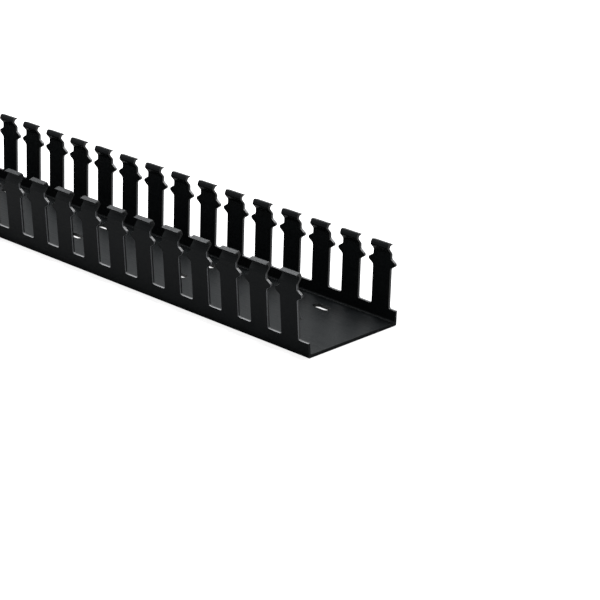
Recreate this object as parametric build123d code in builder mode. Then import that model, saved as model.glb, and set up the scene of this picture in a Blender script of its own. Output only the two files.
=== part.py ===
"""Slotted wire duct: one extruded channel of PVC with punched walls and a punched base, in millimetres.

The duct lies with its base on the floor. X runs along it, Y across it and Z up.
The origin is at the middle of its underside, and the cut end that the photograph shows is at +X.
"""

from build123d import *
import os

# Overall sizes
length = 500.0
base_width = 57.9  # across the underside
height = 39.7  # to the top of the heads, with no cover on
wall = 1.4
base_thickness = 1.7
underside_chamfer = 0.6  # stands for a small radius
floor_radius = 1.0  # inside, where a wall meets the base

# Section of a wall. It leans outward up to a shoulder, then inward up to a throat, and ends in a hook
# that turns outward again, for the cover. A depth is measured down from the top of the head, and an
# inset is a distance behind the leaning outer face.
lean = 0.045  # outward, for each millimetre of height
shoulder_depth = 5.5
inner_shoulder_depth = 5.2
throat_depth = 2.7  # where the outer face is set in most
throat_inset = 2.25
throat_thickness = 1.55  # straight across, so a little more than the sloping wall
inner_throat_depth = 2.4
hook_root_depth = 1.4
hook_root_inset = 1.65
hook_tip_depth = 0.95  # to the underside of the hook's tip
hook_tip_inset = 0.1
hook_tip_thickness = 0.25
crest_inset = 2.5  # of the highest line, where the ramp that the cover slides over begins
inner_edge_depth = 0.9
inner_edge_setback = 0.85  # from the crest

# Fingers, with a gap between each two
finger_pitch = 20.0
gap_width = 8.9
rail_height = 7.4  # solid wall below the gaps
gap_corner_chamfer = 0.6  # stands for a radius of 1 mm, with far fewer facets

# Ears of a finger, which reach into the gaps to hold the wires in
ear_tip_depth = 10.3  # below the top of the head
ear_reach = 3.95  # past the finger's side, to the point where an ear's edges would meet in a sharp tip
ear_tip_radius = 1.1
ear_drop = 2.5  # from the tip down to the ear's root
ear_rise = 2.5  # from the tip up to the ear's top

# The two walls are punched a little out of step along the duct
front_wall_shift = 1.9

# Mounting slots, punched in three rows through the base
mounting_slot_length = 10.4
mounting_slot_width = 4.2
mounting_slot_pitch = 80.0
mounting_rows = 3
mounting_row_spacing = 19.2
mounting_row_shift = -1.5  # the middle row lies this far from the middle of the base
mounting_end_distance = 38.3  # from the +X end to the middle of the first slots


def wall_point(z, inset=0.0):
    """A point of the wall's section, at a height and a distance behind the leaning outer face."""
    return (base_width / 2 + lean * z - inset, z)


def head_point(depth, inset=0.0):
    """A point of the wall's section, at a depth below the top of the head."""
    return wall_point(height - depth, inset)


def corner_at(sketch, point):
    """The corner of a sketch that is nearest to a point."""
    return sketch.vertices().sort_by_distance(point)[0]


def finger_gap():
    """The gap between two fingers, seen from the side, with X along the duct and Y as the height."""

    tip_height = height - ear_tip_depth
    foot = (gap_width / 2, rail_height)
    ear_root = (gap_width / 2, tip_height - ear_drop)
    ear_tip = (gap_width / 2 - ear_reach, tip_height)
    ear_top = (gap_width / 2, tip_height + ear_rise)
    above = (gap_width / 2, height + wall)
    with BuildSketch() as gap:
        with BuildLine():
            Polyline((0, rail_height), foot, ear_root, ear_tip, ear_top, above, (0, above[1]), close=True)
        make_face()
        chamfer(corner_at(gap, foot), gap_corner_chamfer)
        fillet(corner_at(gap, ear_tip), ear_tip_radius)
        mirror(about=Plane.YZ)
    return gap.sketch


with BuildPart() as duct:
    underside_corner = wall_point(0)
    shoulder = head_point(shoulder_depth)
    throat = head_point(throat_depth, throat_inset)
    hook_root = head_point(hook_root_depth, hook_root_inset)
    hook_under = head_point(hook_tip_depth, hook_tip_inset)
    hook_over = head_point(hook_tip_depth - hook_tip_thickness, hook_tip_inset)
    crest = head_point(0, crest_inset)
    inner_edge = head_point(inner_edge_depth, crest_inset + inner_edge_setback)
    inner_throat = head_point(inner_throat_depth, throat_inset + throat_thickness)
    inner_shoulder = head_point(inner_shoulder_depth, wall)
    floor_corner = wall_point(base_thickness, wall)
    with BuildSketch(Plane.YZ) as section:
        with BuildLine():
            Polyline(
                (0, 0),
                underside_corner,
                shoulder,
                throat,
                hook_root,
                hook_under,
                hook_over,
                crest,
                inner_edge,
                inner_throat,
                inner_shoulder,
                floor_corner,
                (0, base_thickness),
                close=True,
            )
        make_face()
        chamfer(corner_at(section, underside_corner), underside_chamfer)
        fillet(corner_at(section, floor_corner), floor_radius)
        mirror(about=Plane.YZ)
    extrude(amount=length / 2, both=True)

    # Gaps between the fingers, counted from the +X end, where the saw went through the middle of one.
    # Past each end of the row the wall is cut down to the rail, so that no part of a finger is left there.
    gap = finger_gap()
    for outward, first_gap in ((-1, length / 2), (1, length / 2 - front_wall_shift)):
        room = first_gap + length / 2 + gap_width / 2
        fingers = int(room / finger_pitch)
        last_gap = first_gap - fingers * finger_pitch
        with BuildSketch(Plane.XZ):
            with Locations((first_gap, 0)):
                with GridLocations(finger_pitch, 0, fingers + 1, 1, align=(Align.MAX, Align.CENTER)):
                    add(gap)
            with Locations((first_gap, rail_height)):
                Rectangle(finger_pitch, height, align=Align.MIN)
            with Locations((last_gap, rail_height)):
                Rectangle(finger_pitch, height, align=(Align.MAX, Align.MIN))
        extrude(amount=outward * base_width, mode=Mode.SUBTRACT)

    # Mounting slots in the base
    room = length - mounting_end_distance - mounting_slot_length
    stations = int(room / mounting_slot_pitch) + 1
    first_station = length / 2 - mounting_end_distance
    with BuildSketch():
        for station in range(stations):
            with Locations((first_station - station * mounting_slot_pitch, mounting_row_shift)):
                with GridLocations(0, mounting_row_spacing, 1, mounting_rows):
                    SlotOverall(mounting_slot_length, mounting_slot_width)
    extrude(amount=base_thickness, mode=Mode.SUBTRACT)

duct.part.label = "duct_channel"
os.makedirs("parts", exist_ok=True)
export_step(duct.part, "parts/duct_channel.step")
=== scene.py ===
# %% [markdown]
# # A slotted wire duct
# Electricians lay the wires of a control panel in a channel like this one. It starts as a long strip of
# black plastic, pushed hot through a die. A press then punches slots into both walls, which leaves rows of
# fingers, and small slots into the base for the screws. The last step is a saw cut at each end.
#
# A CAD model of the duct already fixes its sizes. This script loads it as a frame, and then builds a finer
# channel in the same place, with rounded edges and a real plastic finish.

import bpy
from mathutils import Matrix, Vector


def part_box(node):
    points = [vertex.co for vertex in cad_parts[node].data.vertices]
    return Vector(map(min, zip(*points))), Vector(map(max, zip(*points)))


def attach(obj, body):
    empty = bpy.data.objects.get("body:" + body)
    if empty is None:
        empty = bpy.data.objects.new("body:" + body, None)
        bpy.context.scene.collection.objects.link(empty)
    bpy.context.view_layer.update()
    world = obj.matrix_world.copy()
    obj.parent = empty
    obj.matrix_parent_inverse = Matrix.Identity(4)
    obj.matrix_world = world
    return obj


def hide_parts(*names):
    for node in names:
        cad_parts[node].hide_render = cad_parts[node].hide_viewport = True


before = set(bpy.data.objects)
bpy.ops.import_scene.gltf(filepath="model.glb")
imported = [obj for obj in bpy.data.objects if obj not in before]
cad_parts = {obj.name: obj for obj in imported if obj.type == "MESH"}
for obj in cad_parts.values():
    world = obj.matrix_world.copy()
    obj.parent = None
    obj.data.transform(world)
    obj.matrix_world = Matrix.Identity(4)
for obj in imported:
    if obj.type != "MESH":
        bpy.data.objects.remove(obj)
print("the CAD model has the nodes", list(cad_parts))

# %% The tools that the script needs
import math

import bmesh
import bpy
import numpy as np
from mathutils import Matrix, Vector

MM = 0.001  # the sizes below are in millimetres, and Blender works in metres
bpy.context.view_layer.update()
low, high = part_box("duct_channel")
LENGTH, HEIGHT = (round((high[axis] - low[axis]) / MM, 1) for axis in (0, 2))
BASE_WIDTH = 57.9  # across the underside, where the duct is narrowest
print("the duct is", LENGTH, "mm long,", HEIGHT, "mm high and", BASE_WIDTH, "mm wide at its base")

# %% [markdown]
# ## The camera
# The photograph looks down on the duct from its cut end, at an angle of 45 degrees to its length. The numbers
# below put the camera where the lines of the photograph meet the edges of the CAD model. The camera is far
# away with a long lens, which is why the lines of the duct look almost parallel.

# %% Work out where the camera stands
azimuth, elevation, roll = (math.radians(angle) for angle in (45.47, 21.36, -0.02))
nearest_corner = Vector((LENGTH / 2, -BASE_WIDTH / 2, 0.0))
corner_right, corner_up, corner_distance = 3.90, -26.68, 1069.0  # of that corner, as the camera sees it

backward = Vector(
    (math.sin(azimuth) * math.cos(elevation), -math.cos(azimuth) * math.cos(elevation), math.sin(elevation))
)
level_right = Vector((0, 0, 1)).cross(backward).normalized()
level_up = backward.cross(level_right)
right = math.cos(roll) * level_right + math.sin(roll) * level_up
up = math.cos(roll) * level_up - math.sin(roll) * level_right
eye = nearest_corner - corner_right * right - corner_up * up + corner_distance * backward
print("the camera stands", round((eye - nearest_corner).length / 1000, 2), "m from the cut end")

# %% Place the camera
focal_pixels, image_pixels, sensor_width = 2364.0, 600, 36.0
camera_data = bpy.data.cameras.new("photo_camera")
camera_data.sensor_width = sensor_width
camera_data.lens = focal_pixels / image_pixels * sensor_width
camera_data.clip_end = 20.0
camera = bpy.data.objects.new("photo_camera", camera_data)
camera.matrix_world = Matrix.Translation(eye * MM) @ Matrix((right, up, backward)).transposed().to_4x4()
bpy.context.scene.collection.objects.link(camera)
bpy.context.scene.camera = camera
print("its lens has a focal length of", round(camera_data.lens), "mm")

# %% [markdown]
# ## The line of a wall
# Two lines describe a finger. The first is its section, cut across the duct: the wall leans outward up to a
# shoulder, then inward to a throat, and ends in a thin hook that curls outward again and holds the cover. The
# second is its outline, seen from the side: a straight shank with two pointed ears near its top.
#
# Both lines are drawn with sharp corners, and each corner then gets an arc. A punch or a die always has
# rounded corners, and those small arcs are what catches the light.

# %% Round the corners of a line
def rounded(points, turn_step=0.24):
    """Replace each corner (x, y, radius) of an open line by an arc, and return plain points.

    From one point of an arc to the next the line turns by at most turn_step, in radians.
    """
    line = []
    for index, (x, y, radius) in enumerate(points):
        corner = Vector((x, y))
        if radius == 0 or index in (0, len(points) - 1):
            line.append(corner)
            continue
        before = (Vector(points[index - 1][:2]) - corner).normalized()
        after = (Vector(points[index + 1][:2]) - corner).normalized()
        half = before.angle(after) / 2
        centre = corner + (before + after).normalized() * radius / math.sin(half)
        start = (corner + before * radius / math.tan(half) - centre).normalized()
        end = (corner + after * radius / math.tan(half) - centre).normalized()
        steps = max(2, math.ceil(start.angle(end) / turn_step))
        line.extend(centre + radius * start.slerp(end, step / steps) for step in range(steps + 1))
    return line


square_turn = rounded([(0, 0, 0), (2, 0, 1), (2, 2, 0)])
print("the arc round a square corner has", len(square_turn) - 2, "points")

# %% Draw the section of a wall
WALL = 1.4
LEAN = 0.045  # outward, for each millimetre of height
SEAM_HEIGHT = 4.0  # where the fingers' mesh meets the mesh of the base
HOOK_TIP_INSET = 0.12


def wall_corner(z, inset, radius):
    """A corner of the section, at a height and a distance behind the leaning outer face.

    The height comes first, so that a finished line can be looked up by height.
    """
    return (z, BASE_WIDTH / 2 + LEAN * z - inset, radius)


outer_line = rounded([
    wall_corner(SEAM_HEIGHT, 0, 0),
    wall_corner(34.2, 0, 1.5),  # shoulder
    wall_corner(37.0, 2.25, 0.7),  # throat
    wall_corner(38.3, 1.65, 0.4),  # root of the hook
    wall_corner(38.75, HOOK_TIP_INSET, 0.1),  # under the hook's tip
    wall_corner(39.0, HOOK_TIP_INSET, 0.1),  # over the hook's tip
    wall_corner(HEIGHT, 2.5, 0),  # crest
])
inner_line = rounded([
    wall_corner(SEAM_HEIGHT, WALL, 0),
    wall_corner(34.5, WALL, 1.2),  # behind the shoulder
    wall_corner(37.3, 3.8, 0.8),  # behind the throat
    wall_corner(38.8, 3.35, 0.4),  # where the head narrows to its crest
    wall_corner(HEIGHT, 2.7, 0),  # crest
])


def across(line, z):
    """How far a face of the wall stands from the middle of the duct, at a height."""
    return float(np.interp(z, [point.x for point in line], [point.y for point in line]))


print("the wall's faces are", len(outer_line), "and", len(inner_line), "points")

# %% Draw the outline of a finger
PITCH, FINGER_WIDTH, RAIL_HEIGHT = 20.0, 11.1, 7.4
EAR_SPAN = 19.0  # between the points where the edges of each ear would meet in a sharp tip
outline = rounded([
    (PITCH / 2, RAIL_HEIGHT, 0),
    (FINGER_WIDTH / 2, RAIL_HEIGHT, 1.0),  # foot of the finger
    (FINGER_WIDTH / 2, 26.9, 1.5),  # root of an ear
    (EAR_SPAN / 2, 29.4, 1.1),  # tip of an ear
    (FINGER_WIDTH / 2, 31.9, 1.0),  # top of an ear
    (FINGER_WIDTH / 2, HEIGHT, 0.35),  # corner of the head
    (0.0, HEIGHT, 0),
])
side = outline[1:-1]
ears_across = 2 * max(point.x for point in side)
print("the finger's side has", len(side), "points, and its ears are", round(ears_across, 2), "mm across")

# %% [markdown]
# ## One finger
# A finger is a stack of thin slices, one for each height where either line has a point. Each slice has four
# corners: left and right on the outer face, left and right on the inner face. Faces between the slices then
# make a solid that follows both lines at once, and all of them are plain quads.

# %% Choose the heights of the slices
THINNEST_SLICE = 0.02  # a height that is closer than this to the one below is left out
side_heights = {round(point.y, 4) for point in side}
wall_heights = {round(point.x, 4) for point in outer_line + inner_line if point.x > RAIL_HEIGHT}
heights = sorted(side_heights | wall_heights)
levels = heights[:1] + [z for below, z in zip(heights, heights[1:]) if z - below > THINNEST_SLICE]
half_widths = np.interp(levels, [point.y for point in side], [point.x for point in side])
print("a finger has", len(levels), "levels, from", levels[0], "to", levels[-1], "mm")


# %% Stack the slices of one finger
def start_mesh():
    """An empty mesh whose faces can be marked as punched."""
    mesh = bmesh.new()
    mesh.faces.layers.int.new("punched")
    return mesh


def add_quad(mesh, *corners, punched=0):
    """Add a face, and note whether the press cut it."""
    face = mesh.faces.new(corners)
    face[mesh.faces.layers.int["punched"]] = punched


def wall_vertex(mesh, x, z, line):
    """A point on a face of the rear wall."""
    return mesh.verts.new((x * MM, across(line, z) * MM, z * MM))


def slice_at(mesh, z, half_width):
    """The corners of one slice, in order round it: two on the outer face and two on the inner face."""
    outer = [wall_vertex(mesh, x, z, outer_line) for x in (-half_width, half_width)]
    inner = [wall_vertex(mesh, x, z, inner_line) for x in (half_width, -half_width)]
    return outer + inner


finger_faces = start_mesh()
stack = [slice_at(finger_faces, z, half_width) for z, half_width in zip(levels, half_widths)]
for below, above in zip(stack, stack[1:]):
    for i in range(4):
        j = (i + 1) % 4
        add_quad(finger_faces, below[i], below[j], above[j], above[i], punched=i % 2)
add_quad(finger_faces, *stack[-1])
print("the finger is a stack of", len(finger_faces.faces), "faces")


# %% Add the rail below the finger
def finish_mesh(mesh, name):
    """Turn the faces outward and keep the mesh under a name."""
    bmesh.ops.recalc_face_normals(mesh, faces=mesh.faces)
    finished = bpy.data.meshes.new(name)
    mesh.to_mesh(finished)
    mesh.free()
    return finished


foot = stack[0]
bottom = slice_at(finger_faces, SEAM_HEIGHT, half_widths[0])
for i in (0, 2):
    add_quad(finger_faces, bottom[i], bottom[i + 1], foot[i + 1], foot[i])
for direction, outer, inner in ((-1, 0, 3), (1, 1, 2)):
    end = direction * PITCH / 2
    low_outer = wall_vertex(finger_faces, end, SEAM_HEIGHT, outer_line)
    low_inner = wall_vertex(finger_faces, end, SEAM_HEIGHT, inner_line)
    rim_outer = wall_vertex(finger_faces, end, levels[0], outer_line)
    rim_inner = wall_vertex(finger_faces, end, levels[0], inner_line)
    add_quad(finger_faces, bottom[outer], low_outer, rim_outer, foot[outer])
    add_quad(finger_faces, bottom[inner], foot[inner], rim_inner, low_inner)
    add_quad(finger_faces, foot[outer], rim_outer, rim_inner, foot[inner], punched=1)
finger = finish_mesh(finger_faces, "finger")
print("with its piece of rail it has", len(finger.polygons), "faces")

# %% [markdown]
# ## The base between two rows of slots
# The base repeats too, every 80 mm: a plate with three mounting slots, and then a plain one. The flat plate
# around a slot is four faces, each from one edge of a rectangle to its quarter of the slot's outline. The
# small arcs at the foot of each wall belong to the same mesh.

# %% Round the foot of a wall
BASE_THICKNESS = 1.7
INNER_FOOT_RADIUS, OUTER_FOOT_RADIUS = 1.0, 0.8


def foot_arc(y, z, radius, wall_line):
    """The arc where a face of the base turns up into a face of the wall."""
    seam = (across(wall_line, SEAM_HEIGHT), SEAM_HEIGHT, 0)
    return rounded([(0, z, 0), (y, z, radius), seam])[1:-1]


inner_foot_y = BASE_WIDTH / 2 - WALL + LEAN * BASE_THICKNESS
inner_foot = foot_arc(inner_foot_y, BASE_THICKNESS, INNER_FOOT_RADIUS, inner_line)
outer_foot = foot_arc(BASE_WIDTH / 2, 0, OUTER_FOOT_RADIUS, outer_line)
print("the arcs at the foot have", len(inner_foot), "and", len(outer_foot), "points")

# %% Draw the outline of a mounting slot
BAY = 80.0
NEAR_END = 20.0  # the piece of a plain bay that the saw left at the cut end
FIRST_BAY = LENGTH / 2 - NEAR_END
FIRST_SLOTS = 38.3  # from the cut end to the middle of the first three slots
SLOT_PLACE = LENGTH / 2 - FIRST_SLOTS - FIRST_BAY
SLOT_LENGTH, SLOT_WIDTH = 10.4, 4.2
MIDDLE_ROW, ROW_SPACING = -1.5, 19.2
SLOT_ROWS = [MIDDLE_ROW + rows * ROW_SPACING for rows in (-1, 0, 1)]
ROW_BORDERS = [MIDDLE_ROW + rows * ROW_SPACING for rows in (-0.5, 0.5)]


def slot_ring(x, y, steps=16):
    """Points round a slot, anticlockwise, and which four of them face the corners of its plate."""
    reach, radius = (SLOT_LENGTH - SLOT_WIDTH) / 2, SLOT_WIDTH / 2
    ring = []
    for middle, start in ((x + reach, -90), (x - reach, 90)):
        for step in range(steps + 1):
            angle = math.radians(start + 180 * step / steps)
            ring.append((middle + radius * math.cos(angle), y + radius * math.sin(angle)))
    quarter = steps // 4
    half = steps + 1
    return ring, (quarter, 3 * quarter, half + quarter, half + 3 * quarter)


print("a slot's outline has", len(slot_ring(SLOT_PLACE, SLOT_ROWS[0])[0]), "points")

# %% Lay the plates of one bay
bay_faces = start_mesh()
bay_vertices = {}


def bay_vertex(x, y, z):
    """The vertex of the bay at a place, which is made once and then shared."""
    key = (round(x, 4), round(y, 4), round(z, 4))
    if key not in bay_vertices:
        bay_vertices[key] = bay_faces.verts.new(Vector(key) * MM)
    return bay_vertices[key]


def plate(x0, x1, y0, y1, z):
    """The corners of a flat rectangle."""
    return [bay_vertex(x1, y0, z), bay_vertex(x1, y1, z), bay_vertex(x0, y1, z), bay_vertex(x0, y0, z)]


def plate_round_slot(corners, points, facing):
    """Fill a rectangle outside a slot with four faces, one for each edge of the rectangle."""
    for i in range(4):
        first, last = facing[i], facing[(i + 1) % 4]
        if last < first:
            last += len(points)
        quarter = [points[k % len(points)] for k in range(first, last + 1)]
        bay_faces.faces.new([corners[i], corners[(i + 1) % 4], *reversed(quarter)])


slotted_half, plain_half = (-BAY / 2, 0.0), (-BAY, -BAY / 2)
for z, edge in ((BASE_THICKNESS, inner_foot[0].x), (0.0, outer_foot[0].x)):
    borders = (-edge, *ROW_BORDERS, edge)
    for y0, y1, row in zip(borders, borders[1:], SLOT_ROWS):
        bay_faces.faces.new(plate(*plain_half, y0, y1, z))
        corners = plate(*slotted_half, y0, y1, z)
        ring, facing = slot_ring(SLOT_PLACE, row)
        plate_round_slot(corners, [bay_vertex(x, y, z) for x, y in ring], facing)
print("the top and the underside of a bay have", len(bay_faces.faces), "faces")

# %% Join the top and the underside
for row in SLOT_ROWS:
    ring, _ = slot_ring(SLOT_PLACE, row)
    for (xa, ya), (xb, yb) in zip(ring, ring[1:] + ring[:1]):
        lower = bay_vertex(xa, ya, 0), bay_vertex(xb, yb, 0)
        upper = bay_vertex(xb, yb, BASE_THICKNESS), bay_vertex(xa, ya, BASE_THICKNESS)
        add_quad(bay_faces, *lower, *upper, punched=1)
for x0, x1 in (slotted_half, plain_half):
    for wall_side in (-1, 1):
        for foot_line in (inner_foot, outer_foot):
            for a, b in zip(foot_line, foot_line[1:]):
                ya, yb = wall_side * a.x, wall_side * b.x
                lower = bay_vertex(x0, ya, a.y), bay_vertex(x1, ya, a.y)
                upper = bay_vertex(x1, yb, b.y), bay_vertex(x0, yb, b.y)
                add_quad(bay_faces, *lower, *upper)
bay = bpy.data.objects.new("base_bay", finish_mesh(bay_faces, "base_bay"))
print("one bay of the base has", len(bay.data.polygons), "faces")

# %% [markdown]
# ## Repeat the fingers and the bays
# Geometry Nodes put a copy of the finger on each point of a line, once for the rear wall and once, turned
# half round, for the front wall. The photograph shows that the two walls are punched a little out of step,
# so the front line has its own shift. The last front finger would stick out past the saw cut, so a Set
# Position node stops every point there.

# %% Name the sizes that the node tree takes
tree = bpy.data.node_groups.new("punched_channel", "GeometryNodeTree")
tree.is_modifier = True
for name, kind in (
    ("Geometry", "Geometry"),
    ("Finger pitch", "Float"),
    ("Fingers in a wall", "Int"),
    ("Front wall shift", "Float"),
    ("Base bay", "Object"),
    ("Bay length", "Float"),
    ("Bays", "Int"),
    ("First bay", "Float"),
    ("Duct length", "Float"),
    ("Plastic", "Material"),
    ("Cut plastic", "Material"),
):
    tree.interface.new_socket(name=name, in_out="INPUT", socket_type="NodeSocket" + kind)
tree.interface.new_socket(name="Geometry", in_out="OUTPUT", socket_type="NodeSocketGeometry")
sizes = tree.nodes.new("NodeGroupInput").outputs
print("the node tree takes", [socket.name for socket in sizes if socket.name])


# %% Put the copies on lines
def add_node(host, kind, values=None, **settings):
    """Add a node to a tree, set its own settings, and fill its inputs with numbers or links."""
    new = host.nodes.new(kind)
    for name, value in settings.items():
        setattr(new, name, value)
    for name, value in (values or {}).items():
        if isinstance(value, bpy.types.NodeSocket):
            host.links.new(value, new.inputs[name])
        else:
            new.inputs[name].default_value = value
    return new


def math_node(host, operation, a, b=0.0, c=0.0):
    """The result of one step of arithmetic, on numbers or on the values of other nodes."""
    return add_node(host, "ShaderNodeMath", {0: a, 1: b, 2: c}, operation=operation).outputs[0]


def along_x(value):
    """A vector along the duct."""
    return add_node(tree, "ShaderNodeCombineXYZ", {"X": value}).outputs[0]


def repeated(shape, count, start, pitch, turn=0.0):
    """Copies of a shape on a line that runs towards -X."""
    back = math_node(tree, "MULTIPLY", pitch, -1.0)
    line = add_node(tree, "GeometryNodeMeshLine", {
        "Count": count, "Start Location": along_x(start), "Offset": along_x(back)})
    return add_node(tree, "GeometryNodeInstanceOnPoints", {
        "Points": line.outputs[0], "Instance": shape, "Rotation": (0.0, 0.0, turn)}).outputs[0]


half_length = math_node(tree, "MULTIPLY", sizes["Duct length"], 0.5)
half_pitch = math_node(tree, "MULTIPLY", sizes["Finger pitch"], 0.5)
rear_start = math_node(tree, "SUBTRACT", half_length, half_pitch)
front_start = math_node(tree, "SUBTRACT", rear_start, sizes["Front wall shift"])
bay_shape = add_node(tree, "GeometryNodeObjectInfo", {"Object": sizes["Base bay"]}).outputs["Geometry"]
copies = (
    repeated(sizes["Geometry"], sizes["Fingers in a wall"], rear_start, sizes["Finger pitch"]),
    repeated(sizes["Geometry"], sizes["Fingers in a wall"], front_start, sizes["Finger pitch"], turn=math.pi),
    repeated(bay_shape, sizes["Bays"], sizes["First bay"], sizes["Bay length"]),
)
print("the", len(copies), "lines of copies take", len(tree.nodes), "nodes")

# %% Join the copies, stop them at the saw cut and paint them
SAME_PLACE = 0.002  # points that are closer than this are one
joined = add_node(tree, "GeometryNodeJoinGeometry")
for line_of_copies in copies:
    tree.links.new(line_of_copies, joined.inputs[0])
real = add_node(tree, "GeometryNodeRealizeInstances", {"Geometry": joined.outputs[0]})
position = add_node(tree, "GeometryNodeInputPosition").outputs[0]
place = add_node(tree, "ShaderNodeSeparateXYZ", {0: position}).outputs
far_cut = math_node(tree, "MULTIPLY", half_length, -1.0)
kept_x = math_node(tree, "MAXIMUM", place["X"], far_cut)
kept = add_node(tree, "ShaderNodeCombineXYZ", {"X": kept_x, "Y": place["Y"], "Z": place["Z"]})
cut = add_node(tree, "GeometryNodeSetPosition", {"Geometry": real.outputs[0], "Position": kept.outputs[0]})
merged = add_node(tree, "GeometryNodeMergeByDistance", {
    "Geometry": cut.outputs[0], "Distance": SAME_PLACE * MM})
painted = add_node(tree, "GeometryNodeSetMaterial", {
    "Geometry": merged.outputs[0], "Material": sizes["Plastic"]})
punched = add_node(tree, "GeometryNodeInputNamedAttribute", {"Name": "punched"}, data_type="INT")
edged = add_node(tree, "GeometryNodeSetMaterial", {
    "Geometry": painted.outputs[0],
    "Selection": punched.outputs["Attribute"],
    "Material": sizes["Cut plastic"],
})
tree.links.new(edged.outputs[0], tree.nodes.new("NodeGroupOutput").inputs[0])
print("the whole tree has", len(tree.nodes), "nodes")

# %% Run the tree and turn its result into a plain mesh
FRONT_SHIFT = 1.9  # how far the front wall is punched out of step
FINGERS, BAYS = round(LENGTH / PITCH), round((FIRST_BAY + LENGTH / 2) / BAY)
black_plastic = bpy.data.materials.new("black_plastic")
cut_plastic = bpy.data.materials.new("cut_plastic")
maker = bpy.data.objects.new("channel_maker", finger)
bpy.context.scene.collection.objects.link(maker)
bpy.context.scene.collection.objects.link(bay)
modifier = maker.modifiers.new("punched_channel", "NODES")
modifier.node_group = tree
identifiers = {item.name: item.identifier for item in tree.interface.items_tree if item.in_out == "INPUT"}
for name, value in {
    "Finger pitch": PITCH * MM, "Fingers in a wall": FINGERS, "Front wall shift": FRONT_SHIFT * MM,
    "Base bay": bay, "Bay length": BAY * MM, "Bays": BAYS, "First bay": FIRST_BAY * MM,
    "Duct length": LENGTH * MM, "Plastic": black_plastic, "Cut plastic": cut_plastic,
}.items():
    modifier[identifiers[name]] = value


def plain_mesh(owner, name):
    """The mesh of an object as its modifiers leave it."""
    bpy.context.view_layer.update()
    evaluated = owner.evaluated_get(bpy.context.evaluated_depsgraph_get())
    result = bpy.data.meshes.new_from_object(evaluated)
    result.name = name
    return result


open_channel = plain_mesh(maker, "open_channel")
for helper in (maker, bay):
    bpy.data.objects.remove(helper)
print("the repeated parts have", len(open_channel.polygons), "faces")

# %% [markdown]
# ## Close the seams
# Three things are still open. At the near end the last 20 mm of the base and the last 2 mm of the front
# rail are missing, so their open edges are pulled out to the saw cut. The second is the seam between the base
# and the walls. There the base has a point every 40 mm and the wall has others, so the two rows are zipped
# together with triangles: the row whose next point comes first takes the next step. The third is the two saw
# cuts, and each of them is filled with one face.

# %% Pull the near end out to the saw cut
def near(value, target):
    """Whether a coordinate of a vertex, in metres, is a size in millimetres."""
    return abs(value - target * MM) < SAME_PLACE * MM


def stretch_end(mesh, x, new_x, wanted):
    """Pull the open edge at one X out to another X."""
    edges = [e for e in mesh.edges if e.is_boundary and all(near(v.co.x, x) and wanted(v) for v in e.verts)]
    pulled = bmesh.ops.extrude_edge_only(mesh, edges=edges)["geom"]
    for vert in (item for item in pulled if isinstance(item, bmesh.types.BMVert)):
        vert.co.x = new_x * MM


def is_in_base(vert):
    """Whether a vertex is lower than the seam."""
    return vert.co.z < (SEAM_HEIGHT - SAME_PLACE) * MM


channel_faces = bmesh.new()
channel_faces.from_mesh(open_channel)
stretch_end(channel_faces, FIRST_BAY, LENGTH / 2, is_in_base)
stretch_end(channel_faces, LENGTH / 2 - FRONT_SHIFT, LENGTH / 2, lambda v: v.co.y < 0 and not is_in_base(v))
print("with its near end the channel has", len(channel_faces.faces), "faces")


# %% Zip the walls to the base
def seam_row(y, z):
    """The open points at one place of the section, along the whole duct."""
    found = [v for v in channel_faces.verts if v.is_boundary and near(v.co.z, z) and near(v.co.y, y)]
    return sorted(found, key=lambda v: v.co.x)


def zip_rows(lower, upper):
    """Fill the gap between two rows of points with triangles."""
    i = j = 0
    while i < len(lower) - 1 or j < len(upper) - 1:
        lower_ends, upper_ends = i == len(lower) - 1, j == len(upper) - 1
        if upper_ends or (not lower_ends and lower[i + 1].co.x <= upper[j + 1].co.x):
            channel_faces.faces.new((lower[i], lower[i + 1], upper[j]))
            i += 1
        else:
            channel_faces.faces.new((lower[i], upper[j + 1], upper[j]))
            j += 1


for wall_side in (-1, 1):
    for foot_line, wall_line in ((inner_foot, inner_line), (outer_foot, outer_line)):
        base_row = seam_row(wall_side * foot_line[-1].x, foot_line[-1].y)
        wall_row = seam_row(wall_side * across(wall_line, SEAM_HEIGHT), SEAM_HEIGHT)
        zip_rows(base_row, wall_row)
        print("zipped", len(base_row), "points of the base to", len(wall_row), "points of a wall")

# %% Fill the saw cuts
cut_slot = open_channel.materials.find(cut_plastic.name)
for face in channel_faces.faces:
    face.material_index = 1 if face.material_index == cut_slot else 0
# the filled faces take the first plastic, because a sawn end is as dark as the walls
for end in (-LENGTH / 2, LENGTH / 2):
    rim = [e for e in channel_faces.edges if e.is_boundary and all(near(v.co.x, end) for v in e.verts)]
    bmesh.ops.edgeloop_fill(channel_faces, edges=rim)
bmesh.ops.recalc_face_normals(channel_faces, faces=channel_faces.faces)
open_edges = sum(1 for e in channel_faces.edges if not e.is_manifold)
volume = channel_faces.calc_volume() / MM**3 / 1000
print("open edges left:", open_edges, "and the plastic's volume is", round(volume, 2), "cm3")

# %% Keep the closed mesh, with its two plastics
open_channel.materials.clear()
for plastic in (black_plastic, cut_plastic):
    open_channel.materials.append(plastic)
channel_faces.to_mesh(open_channel)
channel_faces.free()
cut_faces = sum(polygon.material_index for polygon in open_channel.polygons)
print("of", len(open_channel.polygons), "faces the press cut", cut_faces)

# %% [markdown]
# ## Soften the edges
# A press leaves a small radius on every punched edge. A Bevel modifier with two segments gives one to each
# edge that turns by more than 50 degrees. A Weighted Normal modifier then keeps the large flat faces flat.

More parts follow.
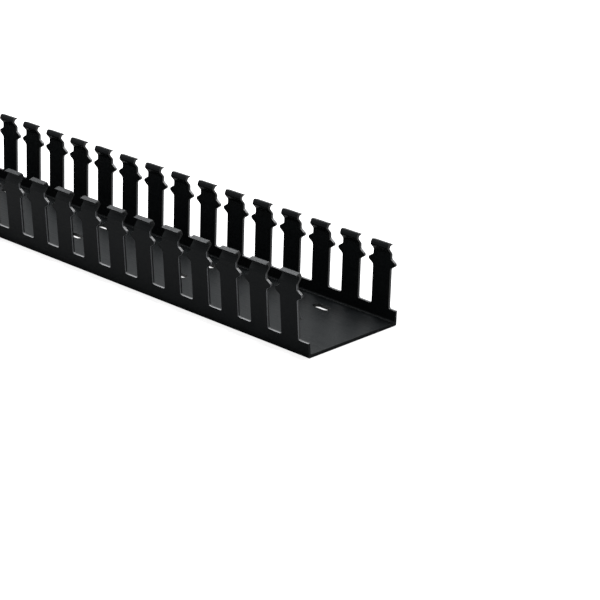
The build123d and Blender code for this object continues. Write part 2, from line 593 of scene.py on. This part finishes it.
# %% Bevel the edges
EDGE_RADIUS = 0.1
channel = bpy.data.objects.new("wire_duct", open_channel)
bpy.context.scene.collection.objects.link(channel)
bevel = channel.modifiers.new("edge radius", "BEVEL")
bevel.width = EDGE_RADIUS * MM
bevel.segments = 2
bevel.limit_method = "ANGLE"
bevel.angle_limit = math.radians(50)
bevel.use_clamp_overlap = False
for polygon in open_channel.polygons:
    polygon.use_smooth = True
weighted = channel.modifiers.new("flat faces", "WEIGHTED_NORMAL")
weighted.keep_sharp = True
channel.data = plain_mesh(channel, "wire_duct")
channel.modifiers.clear()
triangles = sum(len(polygon.vertices) - 2 for polygon in channel.data.polygons)
print("the channel has", triangles, "triangles")

# %% [markdown]
# ## The plastic
# Black PVC is never one flat black. The die leaves fine lines along the strip, the whole surface is a little
# uneven, and a soft shine shows both. The outer part of the wall's thickness on the punched faces is painted
# paler: a painted highlight where the rounded edge of the cut catches the light.
#
# Each of these effects is a node group that gives one value, so that a material can use it with its own
# numbers. There are two materials: one for all that the die and the saw made, and one for the punched faces.

# %% Make the lines of the die
def effect(name, inputs, output):
    """A node group with its named numbers going in and one value coming out."""
    group = bpy.data.node_groups.new(name, "ShaderNodeTree")
    for label, value in inputs.items():
        socket = group.interface.new_socket(name=label, in_out="INPUT", socket_type="NodeSocketFloat")
        socket.default_value = value
    group.interface.new_socket(name=output, in_out="OUTPUT", socket_type="NodeSocketFloat")
    return group, group.nodes.new("NodeGroupInput").outputs, group.nodes.new("NodeGroupOutput").inputs[output]


def object_place(group):
    """The place of a point of the surface, in metres."""
    return group.nodes.new("ShaderNodeTexCoord").outputs["Object"]


ALONG_TO_ACROSS = 0.012  # the noise changes this much less along the duct than across it
lines, given, result = effect("extrusion_lines", {"Lines per metre": 1300.0, "Drift": 0.6}, "Lines")
stretched = add_node(lines, "ShaderNodeMapping", {
    "Vector": object_place(lines), "Scale": (ALONG_TO_ACROSS, 1.0, 1.0)})
noise = add_node(lines, "ShaderNodeTexNoise", {
    "Vector": stretched.outputs[0],
    "Scale": given["Lines per metre"],
    "Detail": 3.0,
    "Roughness": given["Drift"],
})
lines.links.new(noise.outputs[0], result)
print(lines.name, "has", len(lines.nodes), "nodes")

# %% Find the part of a punched face that gets a painted highlight
# The outer part of each punched face is painted paler, as a painted highlight of its rounded outer edge.
HIGHLIGHT_ENDS_AT, HIGHLIGHT_FULL_TO = 0.5, 0.35  # depths behind the wall's outer face, as shares of its thickness
edge_highlight, given, result = effect("painted_edge_highlight", {
    "Half width": BASE_WIDTH / 2 * MM, "Lean": LEAN, "Wall": WALL * MM}, "Highlight")
spot = add_node(edge_highlight, "ShaderNodeSeparateXYZ", {0: object_place(edge_highlight)}).outputs
outer_y = math_node(edge_highlight, "MULTIPLY_ADD", spot["Z"], given["Lean"], given["Half width"])
depth = math_node(edge_highlight, "SUBTRACT", outer_y, math_node(edge_highlight, "ABSOLUTE", spot["Y"]))
share = math_node(edge_highlight, "DIVIDE", depth, given["Wall"])
mask = add_node(edge_highlight, "ShaderNodeMapRange", {
    "Value": share, "From Min": HIGHLIGHT_ENDS_AT, "From Max": HIGHLIGHT_FULL_TO}, interpolation_type="SMOOTHSTEP")
edge_highlight.links.new(mask.outputs[0], result)
print(edge_highlight.name, "has", len(edge_highlight.nodes), "nodes")

# %% Make a fine grain
grain, given, result = effect("fine_grain", {"Scale": 2500.0}, "Grain")
noise = add_node(grain, "ShaderNodeTexNoise", {
    "Vector": object_place(grain), "Scale": given["Scale"], "Detail": 2.0})
grain.links.new(noise.outputs[0], result)
print(grain.name, "has", len(grain.nodes), "nodes")


# %% Mix the black plastic of the die
def mapped(host, value, low_in, high_in, low_out, high_out):
    """A value that is moved from one range to another."""
    ranges = {"From Min": low_in, "From Max": high_in, "To Min": low_out, "To Max": high_out}
    return add_node(host, "ShaderNodeMapRange", {"Value": value, **ranges}).outputs[0]


def plastic_shader(material):
    """The shader of a new material, with the lines of the die and the fine grain to mix from."""
    material.use_nodes = True
    nodes = material.node_tree
    die_lines = add_node(nodes, "ShaderNodeGroup", node_tree=lines).outputs["Lines"]
    fine_grain = add_node(nodes, "ShaderNodeGroup", node_tree=grain).outputs["Grain"]
    return nodes, nodes.nodes["Principled BSDF"], die_lines, fine_grain


def set_bump(nodes, shader, height, distance, strength=0.6):
    """Let a value raise the surface, by up to a distance in millimetres."""
    values = {"Height": height, "Distance": distance * MM, "Strength": strength}
    bump = add_node(nodes, "ShaderNodeBump", values)
    nodes.links.new(bump.outputs[0], shader.inputs["Normal"])


def set_roughness(nodes, shader, factor, factor_range, smoothest, roughest):
    """Let a value that lies in a range make the surface rougher."""
    roughness = mapped(nodes, factor, *factor_range, smoothest, roughest)
    nodes.links.new(roughness, shader.inputs["Roughness"])


def set_color(nodes, shader, factor, dark, pale):
    """Colour the surface between a dark and a pale tone."""
    mix = add_node(nodes, "ShaderNodeMix", {0: factor, 6: (*dark, 1), 7: (*pale, 1)}, data_type="RGBA")
    nodes.links.new(mix.outputs[2], shader.inputs["Base Color"])


NOISE_RANGE = (0.3, 0.7)  # nearly all of a noise lies between these values
DEEP_BLACK, GREY_BLACK = (0.0030, 0.0038, 0.0041), (0.0050, 0.0058, 0.0063)
LINE_HEIGHT, GRAIN_SHARE = 0.06, 0.15
nodes, shader, die_lines, fine_grain = plastic_shader(black_plastic)
set_color(nodes, shader, die_lines, DEEP_BLACK, GREY_BLACK)
set_roughness(nodes, shader, die_lines, NOISE_RANGE, smoothest=0.34, roughest=0.48)
set_bump(nodes, shader, math_node(nodes, "MULTIPLY_ADD", fine_grain, GRAIN_SHARE, die_lines), LINE_HEIGHT)
shader.inputs["Specular IOR Level"].default_value = 0.075
shader.inputs["Specular Tint"].default_value = (0.86, 0.93, 1.0, 1)
print(black_plastic.name, "has", len(nodes.nodes), "nodes")

# %% Mix the cut plastic of the punched faces
# The pale grey is a painted highlight on the outer part of the punched faces; the black is the cut plastic
# itself.
SHEARED_BLACK, HIGHLIGHT_GREY = (0.003, 0.004, 0.0044), (0.200, 0.207, 0.220)
LEAST_PALE, MOST_PALE = 0.6, 1.0  # the grain breaks up the painted highlight
GRAIN_HEIGHT = 0.03
nodes, shader, die_lines, fine_grain = plastic_shader(cut_plastic)
painted_edge_highlight = add_node(nodes, "ShaderNodeGroup", node_tree=edge_highlight).outputs["Highlight"]
grainy = mapped(nodes, fine_grain, *NOISE_RANGE, LEAST_PALE, MOST_PALE)
painted_highlight = math_node(nodes, "MULTIPLY", painted_edge_highlight, grainy)
set_color(nodes, shader, painted_highlight, SHEARED_BLACK, HIGHLIGHT_GREY)
set_roughness(nodes, shader, painted_highlight, (0.0, 1.0), smoothest=0.40, roughest=0.55)
shader.inputs["Specular IOR Level"].default_value = 0.5
set_bump(nodes, shader, fine_grain, GRAIN_HEIGHT)
print(cut_plastic.name, "has", len(nodes.nodes), "nodes")

# %% [markdown]
# ## Floor, light and background
# The photograph has a pure white background and almost no shadow. The floor and the world look white to the
# camera, but the floor lights the duct only as grey paper would, because the outer faces in the photograph
# are nearly black. Two soft lamps hang above and behind the duct: they give the floor of the channel and the
# tops of the fingers their pale shine.

# %% Lay the floor
FLOOR_REACH = 4.0  # metres, from the middle
FLOOR_DROP = 0.2  # below the duct, so that the two never share a plane
PAPER_GREY, PAPER_GLOW = 0.38, 0.85
floor_mesh = bpy.data.meshes.new("floor")
shape = bmesh.new()
bmesh.ops.create_grid(shape, x_segments=1, y_segments=1, size=FLOOR_REACH)
shape.to_mesh(floor_mesh)
shape.free()
floor = bpy.data.objects.new("floor", floor_mesh)
floor_mesh.transform(Matrix.Translation((0, 0, -FLOOR_DROP * MM)))
bpy.context.scene.collection.objects.link(floor)
paper = bpy.data.materials.new("white_paper")
paper.use_nodes = True
paper_nodes = paper.node_tree
paper_shader = paper_nodes.nodes["Principled BSDF"]
paper_shader.inputs["Base Color"].default_value = (PAPER_GREY, PAPER_GREY, PAPER_GREY, 1)
paper_shader.inputs["Roughness"].default_value = 0.9
paper_shader.inputs["Emission Color"].default_value = (1, 1, 1, 1)
camera_ray = paper_nodes.nodes.new("ShaderNodeLightPath").outputs["Is Camera Ray"]
glow = math_node(paper_nodes, "MULTIPLY", camera_ray, PAPER_GLOW)
paper_nodes.links.new(glow, paper_shader.inputs["Emission Strength"])
floor_mesh.materials.append(paper)
print("the paper takes", len(paper_nodes.nodes), "nodes")

# %% Light the world
WORLD_LIGHT = 0.2  # on the duct; the camera, gloss and glass see a strength of 1
world = bpy.data.worlds.new("studio")
bpy.context.scene.world = world
world.use_nodes = True
sky = world.node_tree
background = sky.nodes["Background"]
rays = sky.nodes.new("ShaderNodeLightPath").outputs
mirrored = math_node(sky, "MAXIMUM", rays["Is Glossy Ray"], rays["Is Transmission Ray"])
seen = math_node(sky, "MAXIMUM", rays["Is Camera Ray"], mirrored)
strength = math_node(sky, "MULTIPLY_ADD", seen, 1 - WORLD_LIGHT, WORLD_LIGHT)
sky.links.new(strength, background.inputs["Strength"])
background.inputs["Color"].default_value = (1, 1, 1, 1)
print("the world has", len(sky.nodes), "nodes")


# %% Hang the lamps
def lamp(name, place, aim, size, power):
    """A square softbox at a place, turned towards a point, with its size in metres and its power in watts."""
    data = bpy.data.lights.new(name, "AREA")
    data.shape = "SQUARE"
    data.size = size
    data.energy = power
    made = bpy.data.objects.new(name, data)
    place, aim = Vector(place), Vector(aim)
    made.matrix_world = Matrix.Translation(place) @ (place - aim).to_track_quat("Z", "Y").to_matrix().to_4x4()
    bpy.context.scene.collection.objects.link(made)
    print(name, "hangs", round((place - aim).length, 2), "m from the point that it lights")


SHOWN_PART = (0.15, 0, 0)  # a point in the part of the duct that the photograph shows
lamp("overhead_softbox", (-0.45, 0.25, 0.95), SHOWN_PART, size=0.6, power=20.0)
lamp("back_softbox", (0.2, 0.5, 0.9), SHOWN_PART, size=0.5, power=9.0)
bpy.context.scene.view_settings.view_transform = "Standard"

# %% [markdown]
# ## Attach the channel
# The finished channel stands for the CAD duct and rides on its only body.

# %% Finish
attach(channel, "root")
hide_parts("duct_channel")
